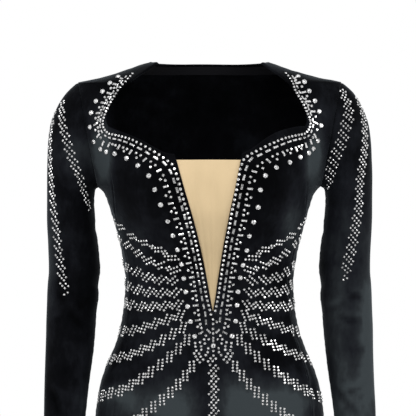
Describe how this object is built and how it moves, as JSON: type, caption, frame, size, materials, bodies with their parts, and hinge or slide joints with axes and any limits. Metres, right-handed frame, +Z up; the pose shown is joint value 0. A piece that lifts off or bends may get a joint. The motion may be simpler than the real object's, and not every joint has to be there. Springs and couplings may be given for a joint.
{
  "type": "evening gown",
  "caption": "Floor-length fitted evening gown with long sleeves, wide sweetheart neckline, deep plunge over a nude mesh insert, flared hem and stone trim; hollow, as worn.",
  "frame": {"origin": "midway between the shoulders, level with the outer part of the shoulder seams, where the wearer carries the gown", "axes": "+X to the wearer's left, -Y to the front, +Z up from the hem to the neck"},
  "size_m": [0.692, 0.646, 1.4448],
  "materials": {
    "velvet": "black stretch velvet with a grey sheen where it turns away",
    "nude_mesh": "fine tan stretch mesh, slightly wrinkled",
    "thread": "black sewing thread and neckline facing tape",
    "stone": "clear foil-backed glass stones, silvery"
  },
  "bodies": {
    "root": {"front": "velvet", "side_front_left": "velvet", "side_front_right": "velvet", "back": "velvet", "sleeve_left": "velvet", "sleeve_right": "velvet", "plunge_insert": "nude_mesh"}
  },
  "joints": []
}
